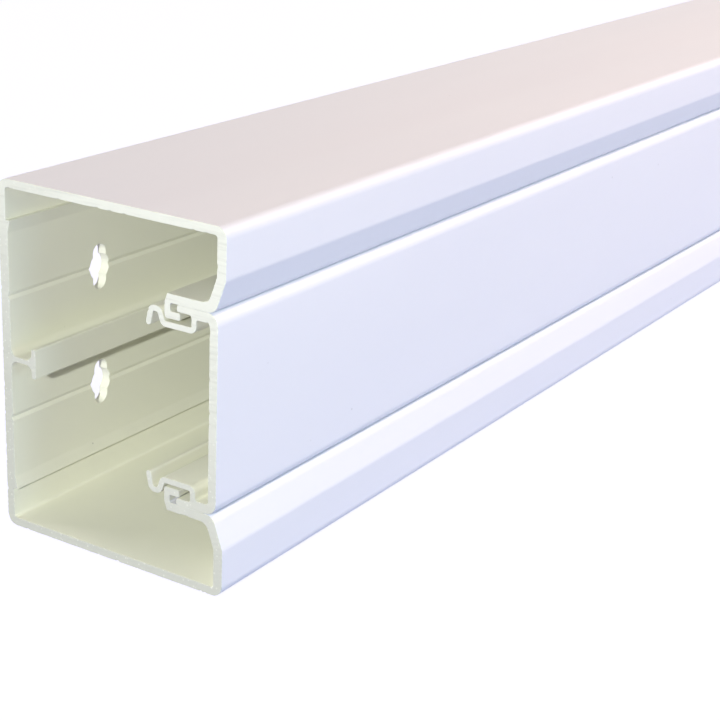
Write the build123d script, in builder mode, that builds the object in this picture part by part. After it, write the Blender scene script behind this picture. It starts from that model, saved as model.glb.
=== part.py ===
"""One stock length of wall raceway: an extruded base channel and the cover that snaps into its mouth.

The raceway runs along X, its cover faces -Y, its fixing wall faces +Y and it stands on its lower wall.
"""
import os
from math import hypot

from build123d import *

# Overall size of the stock
LENGTH = 2000.0
HEIGHT = 100.0
DEPTH = 75.0

# Base channel: walls, corners, front shoulders and the flanges that turn in beside the cover
BASE_WALL = 2.4
SHOULDER_WALL = 2.8
OUTER_RADIUS = 3.2
INNER_RADIUS = 0.8
SHOULDER_HEIGHT = 13.6
BEVEL_HEIGHT = 9.0
BEVEL_DEPTH = 3.2
BEVEL_BEND = 3.0
FLANGE_BEND = 3.2
FLANGE_FILLET = 3.0

# Hook at the end of each flange, which the cover clips round
HOOK_REACH = 19.1
HOOK_WALL = 1.8
HOOK_TAPER = 0.9
LIP_REACH = 4.9
LIP_WALL = 2.0
LIP_BEND = 0.5

# Fixing wall: thicker middle panel between two barbs, with a marking groove along each row of holes
PANEL_STEP = 0.6
BARB_INSET = 11.3
BARB_HEIGHT = 1.4
BARB_RUN = 3.6
GROOVE_WIDTH = 2.0
GROOVE_DEPTH = 0.5

# Divider rib: a T rail along the middle of the fixing wall
RIB_REACH = 8.8
RIB_WIDTH = 8.4
RIB_WALL = 1.5
RIB_FILLET = 2.0
RIB_EDGE = 0.4

# Screw holes: upright slots with a round eye, in two rows
HOLE_COLUMNS = 6
HOLE_ROWS = 2
HOLE_ROW_SPACING = 35.0
HOLE_END_DISTANCE = 36.5
SLOT_LENGTH = 13.4
SLOT_WIDTH = 5.4
EYE_DIAMETER = 8.1

# Cover: face plate, and the spring clip along each of its long edges
COVER_WALL = 2.5
COVER_RECESS = 2.3
COVER_CORNER = 3.4
COVER_SEAM = 0.3
CLIP_WALL = 1.6
CLIP_BEND = 1.3
CLIP_FILLET = 0.6
CLIP_CLEARANCE = 0.3
ARM_OVERLAP = 1.0
CRADLE_ROOM = 3.6
CRADLE_DROP = 0.9
CRADLE_LEAN = 0.6
CREST_RISE = 2.6
TAIL_REACH = 4.0
TAIL_LEAN = 0.9
TAIL_DROP = 4.0

# Section plane: first coordinate is depth behind the shoulder faces, second is height above the middle
SECTION = Plane(origin=(0, -DEPTH / 2, HEIGHT / 2), x_dir=(0, 1, 0), z_dir=(1, 0, 0))
BACK_FACE = Plane(origin=(0, DEPTH / 2, HEIGHT / 2), x_dir=(1, 0, 0), z_dir=(0, 1, 0))

# Levels and depths of the upper half, which the lower half mirrors: the lip leaves room for the cover's clip
half_height = HEIGHT / 2
ceiling = half_height - BASE_WALL
shoulder_edge = half_height - SHOULDER_HEIGHT
flange_face = shoulder_edge - BEVEL_HEIGHT
flange_back = flange_face + BASE_WALL
cover_top = flange_face - COVER_SEAM
lip_back = cover_top - CLIP_WALL - CLIP_CLEARANCE
lip_face = lip_back - LIP_WALL
lip_tip = HOOK_REACH - LIP_REACH
hook_front = HOOK_REACH - HOOK_WALL
barb_level = half_height - BARB_INSET
hole_level = HOLE_ROW_SPACING / 2
wall_face = DEPTH - BASE_WALL
panel_face = wall_face - PANEL_STEP
rib_front = panel_face - RIB_REACH
rib_back = rib_front + RIB_WALL
hole_pitch = (LENGTH - 2 * HOLE_END_DISTANCE) / (HOLE_COLUMNS - 1)

# The bevel's inner face is parallel to its outer face, one shoulder wall behind it
bevel_slope = BEVEL_DEPTH / BEVEL_HEIGHT
bevel_width = SHOULDER_WALL * hypot(1, bevel_slope)
bevel_top = shoulder_edge + (bevel_width - SHOULDER_WALL) / bevel_slope
bevel_foot = BEVEL_DEPTH + bevel_width - BASE_WALL * bevel_slope

# The clip's arm lies over the lip, its cradle passes under the lip and its tail springs up behind the hook
cover_edge = cover_top - COVER_WALL
arm_line = cover_top - CLIP_WALL / 2
arm_end = lip_tip + ARM_OVERLAP - CLIP_WALL / 2
cradle_front = lip_tip - CRADLE_ROOM - CLIP_WALL / 2
cradle_floor = lip_face - CRADLE_DROP - CLIP_WALL / 2
cradle_back = HOOK_REACH + CLIP_CLEARANCE + CLIP_WALL / 2
crest = lip_face + CREST_RISE - CLIP_WALL / 2
tail_top = HOOK_REACH + CLIP_CLEARANCE + TAIL_REACH
tail_tip = (tail_top + TAIL_LEAN, crest - TAIL_DROP)

# Corners of the base's upper half, each with its radius
base_corners = [
    ((DEPTH, 0), 0),
    ((DEPTH, half_height), OUTER_RADIUS),
    ((0, half_height), OUTER_RADIUS),
    ((0, shoulder_edge), BEVEL_BEND),
    ((BEVEL_DEPTH, flange_face), FLANGE_BEND),
    ((hook_front, flange_face), LIP_BEND),
    ((hook_front, lip_back), LIP_BEND),
    ((lip_tip, lip_back), LIP_BEND),
    ((lip_tip, lip_face), LIP_BEND),
    ((HOOK_REACH, lip_face), LIP_BEND),
    ((HOOK_REACH, flange_face), 0),
    ((HOOK_REACH - HOOK_TAPER, flange_back), 0),
    ((bevel_foot, flange_back), FLANGE_FILLET),
    ((SHOULDER_WALL, bevel_top), 0),
    ((SHOULDER_WALL, ceiling), INNER_RADIUS),
    ((wall_face, ceiling), INNER_RADIUS),
    ((wall_face, barb_level), 0),
    ((wall_face - BARB_HEIGHT, barb_level), 0),
    ((panel_face, barb_level - BARB_RUN), 0),
    ((panel_face, hole_level + GROOVE_WIDTH / 2), 0),
    ((panel_face + GROOVE_DEPTH, hole_level), 0),
    ((panel_face, hole_level - GROOVE_WIDTH / 2), 0),
    ((panel_face, RIB_WALL / 2), RIB_FILLET),
    ((rib_back, RIB_WALL / 2), RIB_FILLET),
    ((rib_back, RIB_WIDTH / 2), RIB_EDGE),
    ((rib_front, RIB_WIDTH / 2), RIB_EDGE),
    ((rib_front, 0), 0),
]

with BuildPart() as base:
    with BuildSketch(SECTION) as base_section:
        with BuildLine():
            points, radii = zip(*base_corners)
            FilletPolyline(*points, radius=radii, close=True)
        make_face()
        mirror(about=Plane.XZ)
    extrude(amount=LENGTH / 2, both=True)

    # Screw holes through the fixing wall
    with BuildSketch(BACK_FACE):
        with GridLocations(hole_pitch, HOLE_ROW_SPACING, HOLE_COLUMNS, HOLE_ROWS):
            SlotOverall(SLOT_LENGTH, SLOT_WIDTH, rotation=90)
            Circle(EYE_DIAMETER / 2)
    extrude(amount=-2 * (BASE_WALL + PANEL_STEP), mode=Mode.SUBTRACT)

with BuildPart() as cover:
    with BuildSketch(SECTION) as cover_section:
        # Face plate, turned in at its edge
        with BuildLine():
            FilletPolyline(
                (COVER_RECESS, 0),
                (COVER_RECESS, cover_top),
                (cradle_front, cover_top),
                radius=COVER_CORNER,
            )
            offset(amount=COVER_WALL, side=Side.RIGHT)
        make_face()

        # Arm over the lip
        with Locations(((cradle_front + arm_end) / 2, arm_line)):
            SlotCenterToCenter(arm_end - cradle_front, CLIP_WALL)

        # Cradle under the lip, and the spring tail behind the hook
        with BuildLine():
            FilletPolyline(
                (cradle_front, arm_line),
                (cradle_front, cradle_floor),
                (cradle_back - CRADLE_LEAN, cradle_floor),
                (cradle_back + CRADLE_LEAN, crest),
                (tail_top, crest),
                tail_tip,
                radius=CLIP_BEND,
            )
            offset(amount=CLIP_WALL / 2, side=Side.BOTH)
        make_face()

        # Inside corners where the cradle hangs from the face plate's edge and from the arm
        front_corner = (cradle_front - CLIP_WALL / 2, cover_edge)
        arm_corner = (cradle_front + CLIP_WALL / 2, cover_top - CLIP_WALL)
        corners = [cover_section.vertices().sort_by_distance(c)[0] for c in (front_corner, arm_corner)]
        fillet(corners, radius=CLIP_FILLET)
        mirror(about=Plane.XZ)
    extrude(amount=LENGTH / 2, both=True)

base.part.label = "raceway_base"
cover.part.label = "snap_cover"

os.makedirs("parts", exist_ok=True)
export_step(base.part, "parts/raceway_base.step")
export_step(cover.part, "parts/snap_cover.step")
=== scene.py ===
"""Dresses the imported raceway: meshes of its base and cover, their plastic, a floor, light and a camera.

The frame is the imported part's, in metres: the stock runs along X, its cover faces -Y and it stands on
Z = 0. Sections are worked in millimetres, by depth behind the shoulder faces and height above the middle.
"""
import math
import random

import bmesh
import bpy
from mathutils import Matrix, Vector
from mathutils.geometry import delaunay_2d_cdt


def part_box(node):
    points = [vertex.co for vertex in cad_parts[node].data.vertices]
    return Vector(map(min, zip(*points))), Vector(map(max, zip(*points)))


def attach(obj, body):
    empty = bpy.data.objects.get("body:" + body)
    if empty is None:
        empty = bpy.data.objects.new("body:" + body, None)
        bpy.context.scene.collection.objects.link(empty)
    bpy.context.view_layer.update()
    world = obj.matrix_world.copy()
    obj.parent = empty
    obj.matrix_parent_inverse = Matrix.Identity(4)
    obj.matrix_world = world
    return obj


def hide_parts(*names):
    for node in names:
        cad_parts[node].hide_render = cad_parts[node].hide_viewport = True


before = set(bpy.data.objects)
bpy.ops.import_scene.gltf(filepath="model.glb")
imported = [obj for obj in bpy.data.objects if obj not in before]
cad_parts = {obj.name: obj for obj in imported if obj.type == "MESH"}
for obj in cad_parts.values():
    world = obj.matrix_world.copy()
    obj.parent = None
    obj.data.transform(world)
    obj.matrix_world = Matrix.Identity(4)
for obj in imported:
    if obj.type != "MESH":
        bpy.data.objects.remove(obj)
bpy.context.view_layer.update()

MM = 0.001

# Overall size of the stock, in millimetres, from the frame
base_low, base_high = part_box("raceway_base")
LENGTH, DEPTH, HEIGHT = (base_high - base_low) / MM

# Base channel, as in the part
BASE_WALL = 2.4
SHOULDER_WALL = 2.8
OUTER_RADIUS = 3.2
INNER_RADIUS = 0.8
SHOULDER_HEIGHT = 13.6
BEVEL_HEIGHT = 9.0
BEVEL_DEPTH = 3.2
BEVEL_BEND = 3.0
FLANGE_BEND = 3.2
FLANGE_FILLET = 3.0
HOOK_REACH = 19.1
HOOK_WALL = 1.8
HOOK_TAPER = 0.9
LIP_REACH = 4.9
LIP_WALL = 2.0
LIP_BEND = 0.5
PANEL_STEP = 0.6
BARB_INSET = 11.3
BARB_HEIGHT = 1.4
BARB_RUN = 3.6
GROOVE_WIDTH = 2.0
GROOVE_DEPTH = 0.5
RIB_REACH = 8.8
RIB_WIDTH = 8.4
RIB_WALL = 1.5
RIB_FILLET = 2.0
RIB_EDGE = 0.4

# Screw holes, as in the part
HOLE_COLUMNS = 6
HOLE_ROW_SPACING = 35.0
HOLE_END_DISTANCE = 36.5
SLOT_LENGTH = 13.4
SLOT_WIDTH = 5.4
EYE_DIAMETER = 8.1

# Cover, as in the part
COVER_WALL = 2.5
COVER_RECESS = 2.3
COVER_CORNER = 3.4
COVER_SEAM = 0.3
CLIP_WALL = 1.6
CLIP_BEND = 1.3
CLIP_FILLET = 0.6
CLIP_CLEARANCE = 0.3
ARM_OVERLAP = 1.0
CRADLE_ROOM = 3.6
CRADLE_DROP = 0.9
CRADLE_LEAN = 0.6
CREST_RISE = 2.6
TAIL_REACH = 4.0
TAIL_LEAN = 0.9
TAIL_DROP = 4.0

# How much of the seam the drawn cover closes, because the real cover springs against the flange
SEAM_CLOSED = 0.26

# Fineness of the meshes
ARC_STEP = math.radians(9)
LEAST_ARC_STEPS = 2
SUPPORT = 0.2
LONG_RUN = 0.8
SAME_POINT = 0.0001
CUT_STEP = 0.22
SHARP_ANGLE = math.radians(14)
HOLE_ARC_STEPS = 10

# How the sawn face is filled: triangles inside its borders only, with a tolerance in millimetres
INSIDE_BORDERS = 1
FILL_TOLERANCE = 1e-6

# Sawn ends: a soft edge, tooth marks, and small chips that go deeper at the face than at the rim
ARRIS = 0.09
TOOTH_PITCH = 1.5
TOOTH_DEPTH = 0.09
TOOTH_BITE = (0.15, 1.0)
SAW_TILT = math.radians(14)
CHIP_SPACING = 9.0
CHIP_WIDTH = (0.25, 0.9)
CHIP_DEPTH = (0.05, 0.3)
CHIP_FLARE = 3.0
CUT_EDGE = 0.9
CUT_REACH = 3.0

# Edges of the screw holes: a small chamfer, and how far the cutter reaches past the wall
HOLE_CHAMFER = 0.08
HOLE_OVERRUN = 0.8

# Plastic of the outer skin and of the inside: colours, roughness and strength of the reflection
# Painted light: skin and inside are one white plastic, tinted cool on the skin and warm cream inside for
# how the light falls on each
PVC_IOR = 1.53
SKIN_COOL_LIT_PALE = (0.83, 0.83, 0.87)
SKIN_COOL_LIT_DEEP = (0.81, 0.812, 0.858)
SKIN_SOILED = (0.5, 0.5, 0.5)
SKIN_ROUGHNESS = 0.34
SKIN_SPECULAR = 0.3
INSIDE_WARM_LIT_PALE = (0.892, 0.888, 0.768)
INSIDE_WARM_LIT_DEEP = (0.867, 0.863, 0.743)
INSIDE_SOILED = (0.4, 0.4, 0.33)
INSIDE_ROUGHNESS = 0.42
INSIDE_SPECULAR = 0.4

# Pattern of that plastic, with each noise's cells to the metre, and the range a noise mostly keeps to
NOISE_RANGE = (0.3, 0.7)
DIE_LINE_CELLS = (0.8, 60.0, 60.0)
DIE_LINE_DETAIL = 1.0
DIE_LINE_ROUGHNESS = (-0.03, 0.04)
MOTTLE_CELLS = (7.0, 26.0, 26.0)
MOTTLE_DETAIL = 4.0
DIRT_CELLS = 95.0
DIRT_SIZE = 0.035
DIRT_SHARE = 0.16
DIRT_STRENGTH = 0.6
SPECK_CORE = 0.6

# Plastic of the sawn faces: colours, roughness, streaks along the saw's lines, and dust; the deep colour
# is also that of the painted shade
SAWN_PALE = (0.88, 0.885, 0.79)
SAWN_SHADE_AND_STREAK = (0.65, 0.654, 0.573)
SAWN_ROUGHNESS = (0.5, 0.68)
STREAK_CELLS = (1.0, 60.0, 900.0)
STREAK_DETAIL = 3.0
STREAK_RANGE = (0.5, 0.75)
STREAK_STRENGTH = 0.55
STREAK_BUMP = 0.35
STREAK_RELIEF = 0.1
DUST_CELLS = 900.0
DUST_SIZE = 0.3
DUST_SHARE = 0.25
DUST_STRENGTH = 0.5

# Painted shade on the sawn faces: a level that rises by so much to the metre towards the top and front,
# from deep to pale, and its noise
PAINTED_SHADE_RISE = (0.0, -5.0, 10.0)
PAINTED_SHADE_RANGE = (1.0, 0.25)
PAINTED_SHADE_UNEVEN = 0.1
PAINTED_SHADE_CELLS = (60.0, 60.0, 60.0)
PAINTED_SHADE_DETAIL = 3.0

# Camera, placed in millimetres from the lower front corner of the near end
CAMERA_EYE = (-315.9, -235.3, 211.4)
CAMERA_AIM = (83.1, 12.3, 39.6)
CAMERA_ROLL = math.radians(2.52)
CAMERA_LENS = 84.74
CAMERA_NEAR = 10.0

# Light, placed from the same corner: a warm strip above the front, a small flash beside the camera, a cool
# level lamp on the front, a lamp on the back and a small one off the far end
WHITE = (1.0, 1.0, 1.0, 1.0)
WORLD_LIGHT = 0.1
KEY_PLACE = (970.0, -275.0, 526.0)
KEY_AIM = (970.0, 0.0, 50.0)
KEY_SIZE = (2060.0, 250.0)
KEY_STRENGTH = 6.45
KEY_COLOUR = (1.0, 0.743, 0.648)
FLASH_PLACE = (-292.0, -87.0, 162.0)
FLASH_RADIUS = 7.0
FLASH_STRENGTH = 34.2
FLASH_COLOUR = (0.966, 1.0, 0.94)
LEVEL_DIRECTION = (-0.1, 1.0, 0.0)
LEVEL_STRENGTH = 3.08
LEVEL_ANGLE = math.radians(40)
LEVEL_COLOUR = (0.645, 0.855, 1.0)
BACK_DIRECTION = (0.18, -1.0, -0.13)
BACK_STRENGTH = 2.7
BACK_ANGLE = math.radians(24)
BACK_COLOUR = (1.0, 1.0, 1.0)
END_PLACE = (LENGTH + 330.0, -120.0, 190.0)
END_RADIUS = 60.0
END_STRENGTH = 7.0
END_COLOUR = (1.0, 1.0, 1.0)

# Floor, in millimetres, just below the stock: its colour tints the light that it bounces up, and its glow
# makes it show white
FLOOR_SIZE = 80000.0
FLOOR_DROP = 0.3
FLOOR_COLOUR = (0.09, 0.085, 0.27)
FLOOR_ROUGHNESS = 0.9
FLOOR_SPECULAR = 0.1
FLOOR_GLOW = 0.93

# Material index of a run of the section
SKIN = 0
INSIDE = 1
CUT = 2

# Levels and depths of the upper half of the section, which the lower half mirrors
half_height = HEIGHT / 2
ceiling = half_height - BASE_WALL
shoulder_edge = half_height - SHOULDER_HEIGHT
flange_face = shoulder_edge - BEVEL_HEIGHT
flange_back = flange_face + BASE_WALL
cover_top = flange_face - COVER_SEAM
lip_back = cover_top - CLIP_WALL - CLIP_CLEARANCE
lip_face = lip_back - LIP_WALL
lip_tip = HOOK_REACH - LIP_REACH
hook_front = HOOK_REACH - HOOK_WALL
barb_level = half_height - BARB_INSET
hole_level = HOLE_ROW_SPACING / 2
wall_face = DEPTH - BASE_WALL
panel_face = wall_face - PANEL_STEP
rib_front = panel_face - RIB_REACH
rib_back = rib_front + RIB_WALL
bevel_slope = BEVEL_DEPTH / BEVEL_HEIGHT
bevel_width = SHOULDER_WALL * math.hypot(1, bevel_slope)
bevel_top = shoulder_edge + (bevel_width - SHOULDER_WALL) / bevel_slope
bevel_foot = BEVEL_DEPTH + bevel_width - BASE_WALL * bevel_slope
cover_edge = cover_top - COVER_WALL
cover_rim = cover_top + SEAM_CLOSED
arm_tip = lip_tip + ARM_OVERLAP
cradle_front = lip_tip - CRADLE_ROOM - CLIP_WALL / 2
cradle_floor = lip_face - CRADLE_DROP - CLIP_WALL / 2
cradle_back = HOOK_REACH + CLIP_CLEARANCE + CLIP_WALL / 2
crest = lip_face + CREST_RISE - CLIP_WALL / 2
tail_top = HOOK_REACH + CLIP_CLEARANCE + TAIL_REACH


def base_half():
    """Corners of the base's upper half: place, radius, and the finish of the run that follows."""
    return [
        ((DEPTH, 0), 0, SKIN),
        ((DEPTH, half_height), OUTER_RADIUS, SKIN),
        ((0, half_height), OUTER_RADIUS, SKIN),
        ((0, shoulder_edge), BEVEL_BEND, SKIN),
        ((BEVEL_DEPTH, flange_face), FLANGE_BEND, SKIN),
        ((hook_front, flange_face), LIP_BEND, INSIDE),
        ((hook_front, lip_back), LIP_BEND, INSIDE),
        ((lip_tip, lip_back), LIP_BEND, INSIDE),
        ((lip_tip, lip_face), LIP_BEND, INSIDE),
        ((HOOK_REACH, lip_face), LIP_BEND, INSIDE),
        ((HOOK_REACH, flange_face), 0, INSIDE),
        ((HOOK_REACH - HOOK_TAPER, flange_back), 0, INSIDE),
        ((bevel_foot, flange_back), FLANGE_FILLET, INSIDE),
        ((SHOULDER_WALL, bevel_top), 0, INSIDE),
        ((SHOULDER_WALL, ceiling), INNER_RADIUS, INSIDE),
        ((wall_face, ceiling), INNER_RADIUS, INSIDE),
        ((wall_face, barb_level), 0, INSIDE),
        ((wall_face - BARB_HEIGHT, barb_level), 0, INSIDE),
        ((panel_face, barb_level - BARB_RUN), 0, INSIDE),
        ((panel_face, hole_level + GROOVE_WIDTH / 2), 0, INSIDE),
        ((panel_face + GROOVE_DEPTH, hole_level), 0, INSIDE),
        ((panel_face, hole_level - GROOVE_WIDTH / 2), 0, INSIDE),
        ((panel_face, RIB_WALL / 2), RIB_FILLET, INSIDE),
        ((rib_back, RIB_WALL / 2), RIB_FILLET, INSIDE),
        ((rib_back, RIB_WIDTH / 2), RIB_EDGE, INSIDE),
        ((rib_front, RIB_WIDTH / 2), RIB_EDGE, INSIDE),
        ((rib_front, 0), 0, INSIDE),
    ]


def to_left(direction):
    """The direction a quarter turn to the left."""
    return Vector((-direction.y, direction.x))


def bends_beside(path, offset):
    """Corners of a path's bends, moved to its left by offset, each with the radius of its bend there."""
    corners = []
    for before, at, after in zip(path, path[1:], path[2:]):
        arriving = (at - before).normalized()
        leaving = (after - at).normalized()
        outward = (to_left(arriving) + to_left(leaving)) / (1 + arriving.dot(leaving))

        # A bend is tighter on its inner side and wider on its outer side
        radius = CLIP_BEND - math.copysign(offset, offset * arriving.cross(leaving))
        corners.append((at + outward * offset, radius, INSIDE))
    return corners


def cover_half():
    """Corners of the cover's upper half: place, radius, and the finish of the run that follows."""
    half = CLIP_WALL / 2
    clip = [
        Vector((cradle_front, cover_top - half)),
        Vector((cradle_front, cradle_floor)),
        Vector((cradle_back - CRADLE_LEAN, cradle_floor)),
        Vector((cradle_back + CRADLE_LEAN, crest)),
        Vector((tail_top, crest)),
        Vector((tail_top + TAIL_LEAN, crest - TAIL_DROP)),
    ]
    downward = (clip[-1] - clip[-2]).normalized()
    tip = clip[-1] + downward * half
    side = to_left(downward) * half
    return [
        ((COVER_RECESS, 0), 0, SKIN),
        ((COVER_RECESS, cover_rim), COVER_CORNER, SKIN),
        ((arm_tip, cover_rim), half, INSIDE),
        ((arm_tip, cover_top - CLIP_WALL), half, INSIDE),
        ((cradle_front + half, cover_top - CLIP_WALL), CLIP_FILLET, INSIDE),
        *bends_beside(clip, half),
        (tip + side, half, INSIDE),
        (tip - side, half, INSIDE),
        *reversed(bends_beside(clip, -half)),
        ((cradle_front - half, cover_edge), CLIP_FILLET, INSIDE),
        ((COVER_RECESS + COVER_WALL, cover_edge), COVER_CORNER - COVER_WALL, INSIDE),
        ((COVER_RECESS + COVER_WALL, 0), 0, INSIDE),
    ]


def rounded(corners):
    """Points of an open path with its corners rounded, and the finish of the run after each point."""
    points = []
    finishes = []
    for index, (place, radius, finish) in enumerate(corners):
        corner = Vector(place)
        if radius == 0:
            points.append(corner)
            finishes.append(finish)
            continue
        arriving = (corner - Vector(corners[index - 1][0])).normalized()
        leaving = (Vector(corners[index + 1][0]) - corner).normalized()
        turn = math.atan2(arriving.cross(leaving), arriving.dot(leaving))
        start = corner - arriving * radius * math.tan(abs(turn) / 2)
        centre = start + to_left(arriving) * math.copysign(radius, turn)
        steps = max(LEAST_ARC_STEPS, math.ceil(abs(turn) / ARC_STEP))

        # An arc that begins where the last one ended takes that point over
        if (start - points[-1]).length < SAME_POINT:
            points.pop()
            finishes.pop()
        for step in range(steps + 1):
            points.append(centre + Matrix.Rotation(turn * step / steps, 2) @ (start - centre))
            finishes.append(finish if step == steps else corners[index - 1][2])
    return points, finishes


def supported(points, finishes):
    """The same path with a point just inside each end of its long runs, which keeps their shading flat."""
    more_points = []
    more_finishes = []
    for start, end, finish in zip(points, points[1:] + points[:1], finishes):
        along = end - start
        places = [0.0]
        if along.length > LONG_RUN:
            share = SUPPORT / along.length
            places += [share, 1 - share]
        more_points += [start + along * place for place in places]
        more_finishes += [finish] * len(places)
    return more_points, more_finishes


def closed_section(corners):
    """The outline of a half section and its mirror image, and the finish of the run after each point."""
    points, finishes = rounded(corners)
    mirrored = [Vector((point.x, -point.y)) for point in points[-2:0:-1]]

    # The mirror image is followed backwards, so its runs come in the opposite order
    return supported(points + mirrored, finishes[:-1] + finishes[-2::-1])


def refined(points, finishes):
    """The outline cut into short runs, their finishes, and where its own points are among the new."""
    fine_points = []
    fine_finishes = []
    kept = []
    for start, end, finish in zip(points, points[1:] + points[:1], finishes):
        kept.append(len(fine_points))
        count = math.ceil((end - start).length / CUT_STEP)
        fine_points += [start.lerp(end, step / count) for step in range(count)]
        fine_finishes += [finish] * count
    return fine_points, fine_finishes, kept


def inward_directions(points):
    """Unit directions into the section at each point of its outline."""
    following = points[1:] + points[:1]
    preceding = points[-1:] + points[:-1]
    area = sum(a.cross(b) for a, b in zip(points, following))
    inward = math.copysign(1, area)
    return [to_left(b - a).normalized() * inward for a, b in zip(preceding, following)]


def chip_depths(points, draw):
    """How deep the outline is chipped at each point."""
    along = [0.0]
    for start, end in zip(points, points[1:]):
        along.append(along[-1] + (end - start).length)
    depths = [0.0] * len(points)
    for _ in range(int(along[-1] / CHIP_SPACING)):
        middle = draw.uniform(0, along[-1])
        width = draw.uniform(*CHIP_WIDTH)
        depth = draw.uniform(*CHIP_DEPTH)
        for index, place in enumerate(along):
            share = (place - middle) / width
            if abs(share) < 1:
                depths[index] = max(depths[index], depth * (1 - share * share))
    return depths


def tooth_marks(points, draw):
    """How deep the saw's teeth marked each point, in lines across the whole section."""
    lines = [point.y * math.cos(SAW_TILT) + point.x * math.sin(SAW_TILT) for point in points]
    first = math.floor(min(lines) / TOOTH_PITCH)
    last = math.ceil(max(lines) / TOOTH_PITCH)
    bites = {tooth: draw.uniform(*TOOTH_BITE) * TOOTH_DEPTH for tooth in range(first, last + 1)}
    marks = []
    for line in lines:
        tooth = math.floor(line / TOOTH_PITCH)
        phase = line / TOOTH_PITCH - tooth
        marks.append(bites[tooth] * (0.5 - 0.5 * math.cos(2 * math.pi * phase)))
    return marks


def in_frame(x, point):
    """A place in the frame, from the place along the stock and the point of the section."""
    return Vector((x * MM, base_low.y + point.x * MM, (half_height + point.y) * MM))


def from_corner(place):
    """A place in the frame, from millimetres off the lower front corner of the near end."""
    return base_low + Vector(place) * MM


def add_ring(mesh, places):
    """New vertices at the places along the stock and the points of the section."""
    return [mesh.verts.new(in_frame(x, point)) for x, point in places]


def join_rings(mesh, first, second, finishes):
    """Faces between two rings of as many vertices."""
    for index, finish in enumerate(finishes):
        after = (index + 1) % len(first)
        face = mesh.faces.new((first[index], first[after], second[after], second[index]))
        face.material_index = finish


def add_sawn_end(mesh, outline, finishes, side, draw):
    """One end of the stock, from its sawn face to the ring of the plain outline, which is returned."""
    points, fine_finishes, kept = refined(outline, finishes)
    inward = inward_directions(points)
    chips = chip_depths(points, draw)
    marks = tooth_marks(points, draw)
    end = LENGTH / 2
    face_points = [p + i * (ARRIS + chip) for p, i, chip in zip(points, inward, chips)]
    rim_points = [p + i * chip / CHIP_FLARE for p, i, chip in zip(points, inward, chips)]
    rim_ends = [end - ARRIS - mark - chip for mark, chip in zip(marks, chips)]
    face_ring = add_ring(mesh, [(side * (end - mark), p) for p, mark in zip(face_points, marks)])
    rim_ring = add_ring(mesh, [(side * x, p) for x, p in zip(rim_ends, rim_points)])
    edge_ring = add_ring(mesh, [(side * (end - CUT_EDGE), p) for p in points])
    plain_ring = add_ring(mesh, [(side * (end - CUT_REACH), p) for p in outline])
    join_rings(mesh, face_ring, rim_ring, [CUT] * len(points))
    join_rings(mesh, rim_ring, edge_ring, fine_finishes)

    # Each run of the plain outline meets all the short runs that it was cut into
    for index, finish in enumerate(finishes):
        after = (index + 1) % len(outline)
        stop = kept[after] if after else len(points)
        short_runs = [edge_ring[i % len(points)] for i in range(kept[index], stop + 1)]
        face = mesh.faces.new([*short_runs, plain_ring[after], plain_ring[index]])
        face.material_index = finish

    # The sawn face itself
    borders = [(index, (index + 1) % len(points)) for index in range(len(points))]
    filled = delaunay_2d_cdt(face_points, borders, [], INSIDE_BORDERS, FILL_TOLERANCE)
    triangles, origins = filled[2:4]
    for triangle in triangles:
        face = mesh.faces.new([face_ring[origins[corner][0]] for corner in triangle])
        face.material_index = CUT
    return plain_ring


def add_object(name, data):
    """A new object of the scene, made from its data."""
    made = bpy.data.objects.new(name, data)
    bpy.context.scene.collection.objects.link(made)
    return made


def new_piece(name, mesh, materials):
    """An object made from a finished mesh, with its materials."""
    bmesh.ops.recalc_face_normals(mesh, faces=mesh.faces)
    data = bpy.data.meshes.new(name)
    mesh.to_mesh(data)
    mesh.free()
    for material in materials:
        data.materials.append(material)
    return add_object(name, data)


def make_extrusion(name, corners, materials, seed):
    """A section that runs the stock's whole length, sawn off at both ends."""
    draw = random.Random(seed)
    outline, finishes = closed_section(corners)
    mesh = bmesh.new()
    near, far = [add_sawn_end(mesh, outline, finishes, side, draw) for side in (-1, 1)]
    join_rings(mesh, near, far, finishes)
    return new_piece(name, mesh, materials)


def hole_outline(grow):
    """Outline of an upright slot with a round eye, widened by grow: across and up from its middle."""
    slot = SLOT_WIDTH / 2 + grow
    eye = EYE_DIAMETER / 2 + grow
    rise = SLOT_LENGTH / 2 - SLOT_WIDTH / 2
    meeting = math.acos(slot / eye)
    arcs = [(rise, slot, math.pi / 2, 0), (0, eye, meeting, -meeting), (-rise, slot, 0, -math.pi / 2)]
    right = []
    for middle, radius, first, last in arcs:
        for step in range(HOLE_ARC_STEPS + 1):
            angle = first + (last - first) * step / HOLE_ARC_STEPS
            right.append(Vector((radius * math.cos(angle), middle + radius * math.sin(angle))))
    left = [Vector((-point.x, point.y)) for point in right[-2:0:-1]]
    return right + left


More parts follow.
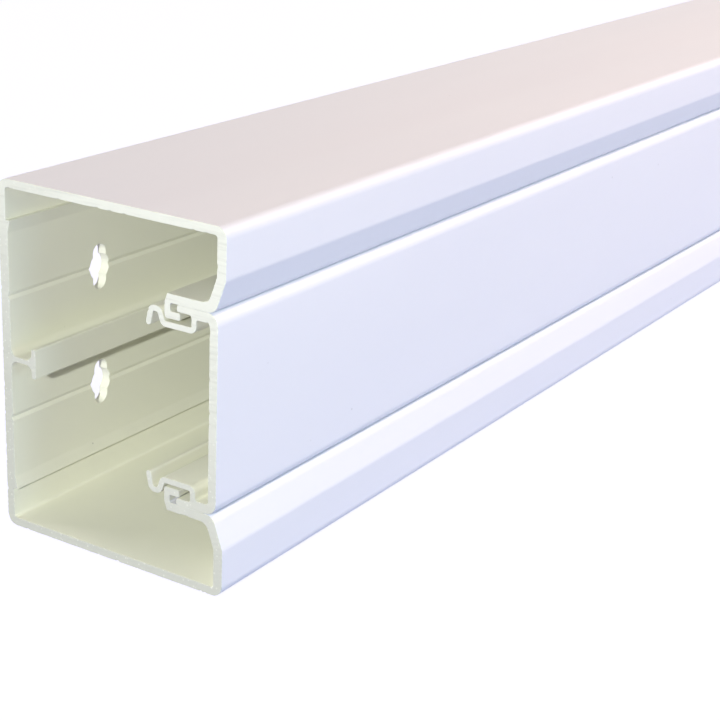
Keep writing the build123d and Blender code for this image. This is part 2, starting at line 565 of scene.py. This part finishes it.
def punch_holes(piece, materials):
    """Cuts the two rows of screw holes through the fixing wall, with a small chamfer at both faces."""
    slope = HOLE_CHAMFER + HOLE_OVERRUN
    levels = [
        (DEPTH + HOLE_OVERRUN, slope),
        (DEPTH - HOLE_CHAMFER, 0),
        (panel_face + HOLE_CHAMFER, 0),
        (panel_face - HOLE_OVERRUN, slope),
    ]
    pitch = (LENGTH - 2 * HOLE_END_DISTANCE) / (HOLE_COLUMNS - 1)
    mesh = bmesh.new()
    for column in range(HOLE_COLUMNS):
        x = HOLE_END_DISTANCE - LENGTH / 2 + column * pitch
        for height in (-hole_level, hole_level):
            rings = []
            for depth, grow in levels:
                places = [(x + p.x, Vector((depth, height + p.y))) for p in hole_outline(grow)]
                rings.append(add_ring(mesh, places))
            for first, second in zip(rings, rings[1:]):
                join_rings(mesh, first, second, [INSIDE] * len(first))
            mesh.faces.new(rings[0])
            mesh.faces.new(rings[-1])
    cutter = new_piece("hole_cutter", mesh, materials)
    modifier = piece.modifiers.new("screw_holes", "BOOLEAN")
    modifier.operation = "DIFFERENCE"
    modifier.solver = "EXACT"
    modifier.object = cutter
    bpy.context.view_layer.objects.active = piece
    bpy.ops.object.modifier_apply(modifier=modifier.name)
    bpy.data.objects.remove(cutter)


def shade(piece):
    """Smooth shading, apart from the section's sharp corners."""
    piece.data.shade_smooth()
    piece.data.set_sharp_from_angle(angle=SHARP_ANGLE)


def add_node(tree, kind, inputs=None, **settings):
    """A new node with its settings, and its inputs by name or number: a socket is linked, a value set."""
    made = tree.nodes.new(kind)
    for name, value in settings.items():
        setattr(made, name, value)
    for name, value in (inputs or {}).items():
        if isinstance(value, bpy.types.NodeSocket):
            tree.links.new(value, made.inputs[name])
        else:
            made.inputs[name].default_value = value
    return made


def new_material(name):
    """A material, its node tree and its shader."""
    material = bpy.data.materials.new(name)
    material.use_nodes = True
    tree = material.node_tree
    return material, tree, tree.nodes["Principled BSDF"]


def noise(tree, place, cells, detail, turn=(0.0, 0.0, 0.0)):
    """Noise of a number of cells to the metre along each axis, about 0 to 1, after a turn of the place."""
    scaled = add_node(tree, "ShaderNodeMapping", {"Vector": place, "Rotation": turn, "Scale": cells})
    inputs = {"Vector": scaled.outputs[0], "Scale": 1.0, "Detail": detail}
    return add_node(tree, "ShaderNodeTexNoise", inputs).outputs["Fac"]


def remap(tree, value, old_range, new_range):
    """A value taken from one range to another."""
    inputs = {
        "Value": value,
        "From Min": old_range[0],
        "From Max": old_range[1],
        "To Min": new_range[0],
        "To Max": new_range[1],
    }
    return add_node(tree, "ShaderNodeMapRange", inputs).outputs["Result"]


def mix(tree, factor, first, second):
    """A colour between two others."""
    # By number, because the node's sockets for colours share their names with those for other values
    return add_node(tree, "ShaderNodeMix", {0: factor, 6: first, 7: second}, data_type="RGBA").outputs[2]


def calculate(tree, operation, first, second):
    """The result of a calculation with two values."""
    return add_node(tree, "ShaderNodeMath", {0: first, 1: second}, operation=operation).outputs[0]


def specks(tree, place, cells, size, share):
    """Small round specks in a share of the cells, 1 in each speck and 0 between."""
    cell = add_node(tree, "ShaderNodeTexVoronoi", {"Vector": place, "Scale": cells, "Randomness": 1.0})
    parts = add_node(tree, "ShaderNodeSeparateColor", {"Color": cell.outputs["Color"]})
    chosen = calculate(tree, "LESS_THAN", parts.outputs[0], share)
    within = remap(tree, cell.outputs["Distance"], (size, size * SPECK_CORE), (0.0, 1.0))
    return calculate(tree, "MULTIPLY", chosen, within)


def extruded_plastic(name, pale, deep, soiled, roughness, specular):
    """Rigid PVC: gloss that varies in lines along the stock, slight mottling and a few specks of dirt."""
    material, tree, shader = new_material(name)
    place = add_node(tree, "ShaderNodeTexCoord").outputs["Object"]
    die_lines = noise(tree, place, DIE_LINE_CELLS, DIE_LINE_DETAIL)
    mottle = noise(tree, place, MOTTLE_CELLS, MOTTLE_DETAIL)
    tone = mix(tree, remap(tree, mottle, NOISE_RANGE, (0.0, 1.0)), (*pale, 1), (*deep, 1))
    dirt = specks(tree, place, DIRT_CELLS, DIRT_SIZE, DIRT_SHARE)
    colour = mix(tree, calculate(tree, "MULTIPLY", dirt, DIRT_STRENGTH), tone, (*soiled, 1))
    tree.links.new(colour, shader.inputs["Base Color"])
    rough_range = [roughness + change for change in DIE_LINE_ROUGHNESS]
    rough = remap(tree, die_lines, NOISE_RANGE, rough_range)
    tree.links.new(rough, shader.inputs["Roughness"])
    shader.inputs["IOR"].default_value = PVC_IOR
    shader.inputs["Specular IOR Level"].default_value = specular
    return material


def sawn_plastic(name, pale, deep):
    """The same plastic where it was sawn: matt and streaked, with painted shade that makes it paler
    towards the top and front and greyer beyond.
    """
    material, tree, shader = new_material(name)
    place = add_node(tree, "ShaderNodeTexCoord").outputs["Object"]
    streaks = noise(tree, place, STREAK_CELLS, STREAK_DETAIL, (-SAW_TILT, 0.0, 0.0))
    # Painted shade: the sawn face turns paler towards the top and front and greyer beyond, as the light
    # falls on it
    painted_shade_clouds = noise(tree, place, PAINTED_SHADE_CELLS, PAINTED_SHADE_DETAIL)
    rise = add_node(tree, "ShaderNodeVectorMath", {0: place, 1: PAINTED_SHADE_RISE}, operation="DOT_PRODUCT")
    painted_shade_shift = remap(tree, painted_shade_clouds, NOISE_RANGE, (-PAINTED_SHADE_UNEVEN, PAINTED_SHADE_UNEVEN))
    painted_shade_level = calculate(tree, "ADD", rise.outputs["Value"], painted_shade_shift)
    tone = mix(tree, remap(tree, painted_shade_level, PAINTED_SHADE_RANGE, (0.0, 1.0)), (*pale, 1), (*deep, 1))
    streaked = mix(tree, remap(tree, streaks, STREAK_RANGE, (0.0, STREAK_STRENGTH)), tone, (*deep, 1))
    dust = specks(tree, place, DUST_CELLS, DUST_SIZE, DUST_SHARE)
    colour = mix(tree, calculate(tree, "MULTIPLY", dust, DUST_STRENGTH), streaked, (*pale, 1))
    tree.links.new(colour, shader.inputs["Base Color"])
    rough = remap(tree, streaks, NOISE_RANGE, SAWN_ROUGHNESS)
    tree.links.new(rough, shader.inputs["Roughness"])
    relief = {"Height": streaks, "Strength": STREAK_BUMP, "Distance": STREAK_RELIEF * MM}
    bump = add_node(tree, "ShaderNodeBump", relief)
    tree.links.new(bump.outputs[0], shader.inputs["Normal"])
    shader.inputs["IOR"].default_value = PVC_IOR
    return material


def seen_by_eye(tree):
    """1 for a ray that shows the background: from the camera, in a reflection or through glass."""
    ray = add_node(tree, "ShaderNodeLightPath").outputs
    seen = calculate(tree, "MAXIMUM", ray["Is Camera Ray"], ray["Is Glossy Ray"])
    return calculate(tree, "MAXIMUM", seen, ray["Is Transmission Ray"])


def make_floor():
    """A wide floor that shows white, keeps the raceway's shadow and bounces a little bluish light."""
    bpy.ops.mesh.primitive_plane_add(size=FLOOR_SIZE * MM, location=(0, 0, -FLOOR_DROP * MM))
    floor = bpy.context.object
    floor.name = "floor"
    material, tree, shader = new_material("floor_paper")
    shader.inputs["Base Color"].default_value = (*FLOOR_COLOUR, 1)
    shader.inputs["Roughness"].default_value = FLOOR_ROUGHNESS
    shader.inputs["Specular IOR Level"].default_value = FLOOR_SPECULAR
    glow = calculate(tree, "MULTIPLY", seen_by_eye(tree), FLOOR_GLOW)
    white = add_node(tree, "ShaderNodeEmission", {"Color": WHITE, "Strength": glow}).outputs[0]
    shown = add_node(tree, "ShaderNodeAddShader", {0: shader.outputs[0], 1: white}).outputs[0]
    tree.links.new(shown, tree.nodes["Material Output"].inputs["Surface"])
    floor.data.materials.append(material)


def make_world():
    """An even white surround, dimmer as a light than it looks."""
    world = bpy.data.worlds.new("surround")
    bpy.context.scene.world = world
    world.use_nodes = True
    tree = world.node_tree
    background = tree.nodes["Background"]
    background.inputs["Color"].default_value = WHITE
    strength = remap(tree, seen_by_eye(tree), (0.0, 1.0), (WORLD_LIGHT, 1.0))
    tree.links.new(strength, background.inputs["Strength"])


def add_lamp(name, kind, strength, colour):
    """A lamp of a kind in the scene, and its data."""
    data = bpy.data.lights.new(name, kind)
    data.energy = strength
    data.color = colour
    return add_object(name, data), data


def turn_lamp(lamp, direction):
    """Makes a lamp shine in a direction."""
    lamp.rotation_mode = "QUATERNION"
    lamp.rotation_quaternion = direction.to_track_quat("-Z", "Y")


def make_sun(name, direction, strength, angle, colour):
    """A lamp whose light comes from far off."""
    sun, data = add_lamp(name, "SUN", strength, colour)
    data.angle = angle
    turn_lamp(sun, Vector(direction))


def make_strip(name, place, aim, size, strength, colour):
    """A long strip lamp above the front of the stock."""
    strip, data = add_lamp(name, "AREA", strength, colour)
    data.shape = "RECTANGLE"
    data.size = size[0] * MM
    data.size_y = size[1] * MM
    strip.location = from_corner(place)
    strip.visible_camera = False
    turn_lamp(strip, Vector(aim) - Vector(place))


def make_flash(name, place, radius, strength, colour, falloff):
    """A small lamp off an end of the stock: Constant reaches the whole stock alike, Quadratic fades."""
    flash, data = add_lamp(name, "POINT", strength, colour)
    data.shadow_soft_size = radius * MM
    data.use_nodes = True
    tree = data.node_tree
    level = add_node(tree, "ShaderNodeLightFalloff", {"Strength": 1.0}).outputs[falloff]
    tree.links.new(level, tree.nodes["Emission"].inputs["Strength"])
    flash.location = from_corner(place)
    flash.visible_camera = False


def make_camera():
    """The photograph's view of the cut end, looking along the front."""
    eye = from_corner(CAMERA_EYE)
    aim = from_corner(CAMERA_AIM)
    data = bpy.data.cameras.new("camera")
    data.lens = CAMERA_LENS
    data.clip_start = CAMERA_NEAR * MM
    camera = add_object("camera", data)
    turn = (aim - eye).to_track_quat("-Z", "Y").to_matrix() @ Matrix.Rotation(CAMERA_ROLL, 3, "Z")
    camera.matrix_world = Matrix.LocRotScale(eye, turn, None)
    bpy.context.scene.camera = camera


def dress(piece, node):
    """Puts a finished piece in the place of its node."""
    shade(piece)
    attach(piece, "root")
    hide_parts(node)


# The cool skin and the warm cream inside are painted light on one white plastic
skin = extruded_plastic("pvc_skin_cool_lit", SKIN_COOL_LIT_PALE, SKIN_COOL_LIT_DEEP, SKIN_SOILED, SKIN_ROUGHNESS, SKIN_SPECULAR)
inside = extruded_plastic(
    "pvc_inside_warm_lit", INSIDE_WARM_LIT_PALE, INSIDE_WARM_LIT_DEEP, INSIDE_SOILED, INSIDE_ROUGHNESS, INSIDE_SPECULAR
)
sawn = sawn_plastic("pvc_sawn", SAWN_PALE, SAWN_SHADE_AND_STREAK)
plastics = [skin, inside, sawn]

base = make_extrusion("base_extrusion", base_half(), plastics, seed=5)
punch_holes(base, plastics)
dress(base, "raceway_base")

cover = make_extrusion("cover_extrusion", cover_half(), plastics, seed=8)
dress(cover, "snap_cover")

make_floor()
make_world()
make_strip("key", KEY_PLACE, KEY_AIM, KEY_SIZE, KEY_STRENGTH, KEY_COLOUR)
make_flash("flash", FLASH_PLACE, FLASH_RADIUS, FLASH_STRENGTH, FLASH_COLOUR, "Constant")
make_sun("level", LEVEL_DIRECTION, LEVEL_STRENGTH, LEVEL_ANGLE, LEVEL_COLOUR)
make_sun("back", BACK_DIRECTION, BACK_STRENGTH, BACK_ANGLE, BACK_COLOUR)
make_flash("end", END_PLACE, END_RADIUS, END_STRENGTH, END_COLOUR, "Quadratic")
make_camera()
bpy.context.scene.view_settings.view_transform = "Standard"
